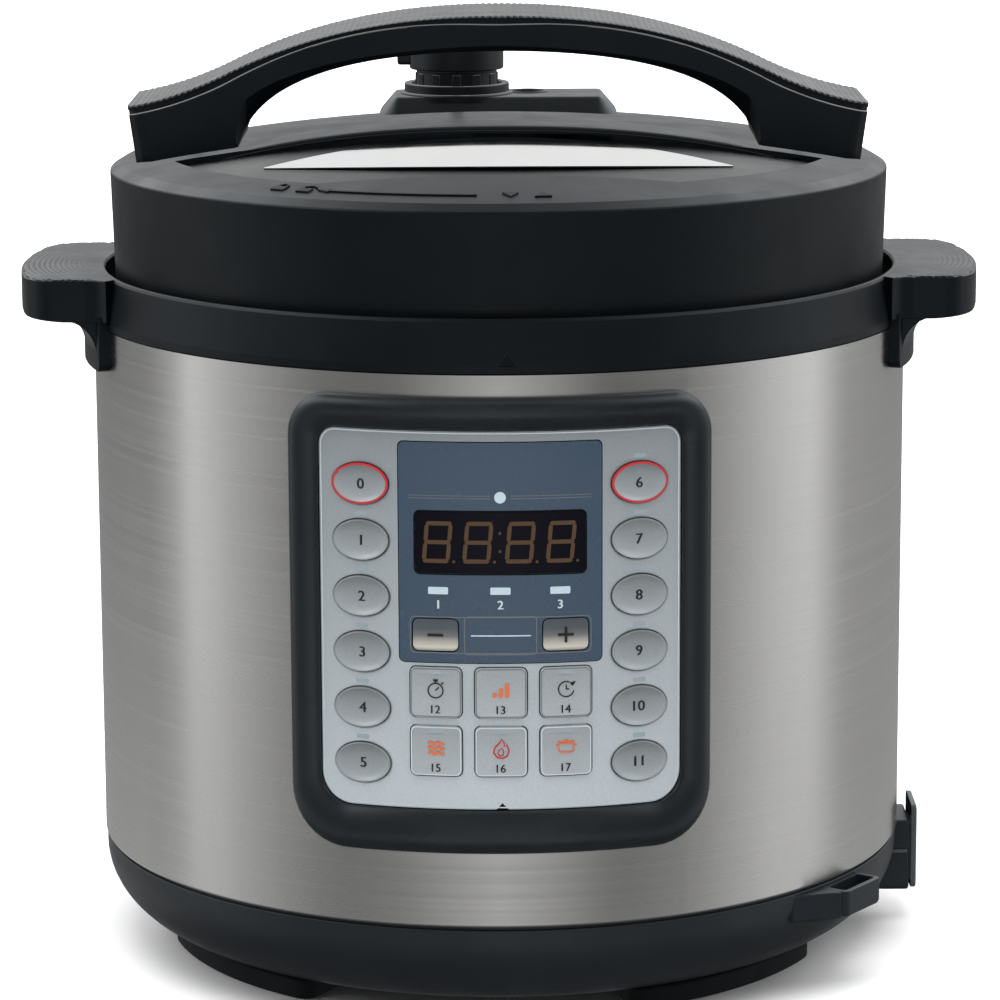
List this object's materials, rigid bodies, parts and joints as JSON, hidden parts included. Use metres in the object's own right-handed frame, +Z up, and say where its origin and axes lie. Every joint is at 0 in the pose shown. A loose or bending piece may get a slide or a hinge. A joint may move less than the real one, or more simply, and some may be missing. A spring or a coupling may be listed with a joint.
{
  "type": "electric pressure cooker",
  "caption": "Countertop electric pressure cooker: round brushed-steel body, curved key panel, side ears, domed lid with arched handle, steam valve, lift-out pot and rear drip cup.",
  "frame": {"origin": "on the floor under the feet, on the axis of the round body", "axes": "+X to the object's right as seen from its control panel side, through the carrying ears; -Y towards the user, where the control panel is; +Z up"},
  "size_m": [0.3358, 0.295, 0.3296],
  "materials": {
    "black_plastic": "satin moulded black plastic",
    "dark_plastic": "matt dark grey moulded plastic",
    "rubber": "black rubber",
    "brushed_steel": "brushed round the body",
    "polished_steel": "polished stainless steel",
    "aluminium": "plain cast and drawn aluminium",
    "silver_fascia": "silver-blue satin film over plastic",
    "blue_window": "smooth dark blue film",
    "display": "near-black display face",
    "circuit_board": "green circuit board",
    "silicone": "translucent white silicone rubber"
  },
  "bodies": {
    "body": {"base_housing": "black_plastic", "bottom_plate": "dark_plastic", "bottom_screw": "aluminium", "accessory_pocket": "black_plastic", "inlet_socket": "black_plastic", "power_board": "circuit_board", "pressure_switch": "dark_plastic", "foot_front_left": "rubber", "foot_front_right": "rubber", "foot_back_right": "rubber", "foot_back_left": "rubber", "outer_shell": "brushed_steel", "upper_collar": "black_plastic", "pressure_vessel": "aluminium", "heating_plate": "aluminium", "sensor_spring": "polished_steel", "cup_pocket": "black_plastic", "control_bezel": "black_plastic", "control_fascia": "silver_fascia", "display_window": "blue_window", "led_display": "display", "control_board": "circuit_board"},
    "sensor": {"sensor_plunger": "aluminium"},
    "pot": {"inner_pot": "polished_steel"},
    "cup": {"condensation_cup": "dark_plastic"},
    "seal": {"sealing_ring": "silicone"},
    "lid": {"lid_cover": "black_plastic", "lid_accent": "polished_steel", "pressure_lid": "brushed_steel", "lid_handle": "black_plastic", "valve_block": "dark_plastic", "ring_rack": "polished_steel", "anti_block_shield": "polished_steel", "handle_screw_left": "polished_steel", "handle_screw_right": "polished_steel", "exhaust_pipe": "polished_steel"},
    "knob": {"steam_knob": "dark_plastic"},
    "float": {"float_pin": "polished_steel", "float_seal": "silicone"},
    "press_cancel": {"key_cancel": "silver_fascia"},
    "press_rice": {"key_rice": "silver_fascia"},
    "press_multigrain": {"key_multigrain": "silver_fascia"},
    "press_soup": {"key_soup": "silver_fascia"},
    "press_meat_stew": {"key_meat_stew": "silver_fascia"},
    "press_poultry": {"key_poultry": "silver_fascia"},
    "press_start": {"key_start": "silver_fascia"},
    "press_fish": {"key_fish": "silver_fascia"},
    "press_steam": {"key_steam": "silver_fascia"},
    "press_beans_chili": {"key_beans_chili": "silver_fascia"},
    "press_yogurt": {"key_yogurt": "silver_fascia"},
    "press_porridge": {"key_porridge": "silver_fascia"},
    "press_manual": {"key_manual": "silver_fascia"},
    "press_adjust": {"key_adjust": "silver_fascia"},
    "press_delay": {"key_delay": "silver_fascia"},
    "press_keep_warm": {"key_keep_warm": "silver_fascia"},
    "press_sear": {"key_sear": "silver_fascia"},
    "press_slow_cook": {"key_slow_cook": "silver_fascia"},
    "press_minus": {"key_minus": "silver_fascia"},
    "press_plus": {"key_plus": "silver_fascia"}
  },
  "joints": [
    {"name": "lid_lift", "type": "slide", "parent": "body", "child": "seal", "axis": [0, 0, 1], "range_m": [0, 0.42]},
    {"name": "lid_twist", "type": "hinge", "parent": "seal", "child": "lid", "pos_m": [0, 0, 0.28], "axis": [0, 0, 1], "range_deg": [-30, 0]},
    {"name": "pot_lift", "type": "slide", "parent": "body", "child": "pot", "axis": [0, 0, 1], "range_m": [0, 0.2]},
    {"name": "knob_turn", "type": "hinge", "parent": "lid", "child": "knob", "pos_m": [-0.015, 0.052, 0.31], "axis": [0, 0, 1], "range_deg": [0, 60]},
    {"name": "float_rise", "type": "slide", "parent": "lid", "child": "float", "axis": [0, 0, 1], "range_m": [0, 0.0045]},
    {"name": "sensor_press", "type": "slide", "parent": "body", "child": "sensor", "axis": [0, 0, 1], "range_m": [-0.0015, 0], "stiffness_N_per_m": 300, "springref_m": 0.002, "deforming": ["sensor_spring"]},
    {"name": "cup_slide", "type": "slide", "parent": "body", "child": "cup", "axis": [0, 1, 0], "range_m": [0, 0.07]},
    {"name": "press_cancel", "type": "slide", "parent": "body", "child": "press_cancel", "axis": [0.3146, 0.9492, 0], "range_m": [0, 0.0006], "stiffness_N_per_m": 200},
    {"name": "press_rice", "type": "slide", "parent": "body", "child": "press_rice", "axis": [0.3146, 0.9492, 0], "range_m": [0, 0.0006], "stiffness_N_per_m": 200},
    {"name": "press_multigrain", "type": "slide", "parent": "body", "child": "press_multigrain", "axis": [0.3146, 0.9492, 0], "range_m": [0, 0.0006], "stiffness_N_per_m": 200},
    {"name": "press_soup", "type": "slide", "parent": "body", "child": "press_soup", "axis": [0.3146, 0.9492, 0], "range_m": [0, 0.0006], "stiffness_N_per_m": 200},
    {"name": "press_meat_stew", "type": "slide", "parent": "body", "child": "press_meat_stew", "axis": [0.3146, 0.9492, 0], "range_m": [0, 0.0006], "stiffness_N_per_m": 200},
    {"name": "press_poultry", "type": "slide", "parent": "body", "child": "press_poultry", "axis": [0.3146, 0.9492, 0], "range_m": [0, 0.0006], "stiffness_N_per_m": 200},
    {"name": "press_start", "type": "slide", "parent": "body", "child": "press_start", "axis": [-0.3146, 0.9492, 0], "range_m": [0, 0.0006], "stiffness_N_per_m": 200},
    {"name": "press_fish", "type": "slide", "parent": "body", "child": "press_fish", "axis": [-0.3146, 0.9492, 0], "range_m": [0, 0.0006], "stiffness_N_per_m": 200},
    {"name": "press_steam", "type": "slide", "parent": "body", "child": "press_steam", "axis": [-0.3146, 0.9492, 0], "range_m": [0, 0.0006], "stiffness_N_per_m": 200},
    {"name": "press_beans_chili", "type": "slide", "parent": "body", "child": "press_beans_chili", "axis": [-0.3146, 0.9492, 0], "range_m": [0, 0.0006], "stiffness_N_per_m": 200},
    {"name": "press_yogurt", "type": "slide", "parent": "body", "child": "press_yogurt", "axis": [-0.3146, 0.9492, 0], "range_m": [0, 0.0006], "stiffness_N_per_m": 200},
    {"name": "press_porridge", "type": "slide", "parent": "body", "child": "press_porridge", "axis": [-0.3146, 0.9492, 0], "range_m": [0, 0.0006], "stiffness_N_per_m": 200},
    {"name": "press_manual", "type": "slide", "parent": "body", "child": "press_manual", "axis": [0.1471, 0.9891, 0], "range_m": [0, 0.0006], "stiffness_N_per_m": 200},
    {"name": "press_adjust", "type": "slide", "parent": "body", "child": "press_adjust", "axis": [0, 1, 0], "range_m": [0, 0.0006], "stiffness_N_per_m": 200},
    {"name": "press_delay", "type": "slide", "parent": "body", "child": "press_delay", "axis": [-0.1471, 0.9891, 0], "range_m": [0, 0.0006], "stiffness_N_per_m": 200},
    {"name": "press_keep_warm", "type": "slide", "parent": "body", "child": "press_keep_warm", "axis": [0.1471, 0.9891, 0], "range_m": [0, 0.0006], "stiffness_N_per_m": 200},
    {"name": "press_sear", "type": "slide", "parent": "body", "child": "press_sear", "axis": [0, 1, 0], "range_m": [0, 0.0006], "stiffness_N_per_m": 200},
    {"name": "press_slow_cook", "type": "slide", "parent": "body", "child": "press_slow_cook", "axis": [-0.1471, 0.9891, 0], "range_m": [0, 0.0006], "stiffness_N_per_m": 200},
    {"name": "press_minus", "type": "slide", "parent": "body", "child": "press_minus", "axis": [0.1471, 0.9891, 0], "range_m": [0, 0.0006], "stiffness_N_per_m": 200},
    {"name": "press_plus", "type": "slide", "parent": "body", "child": "press_plus", "axis": [-0.1471, 0.9891, 0], "range_m": [0, 0.0006], "stiffness_N_per_m": 200}
  ],
  "couplings": [
    {"joint": "pot_lift", "follows": "lid_lift", "ratio": 0.45}
  ]
}
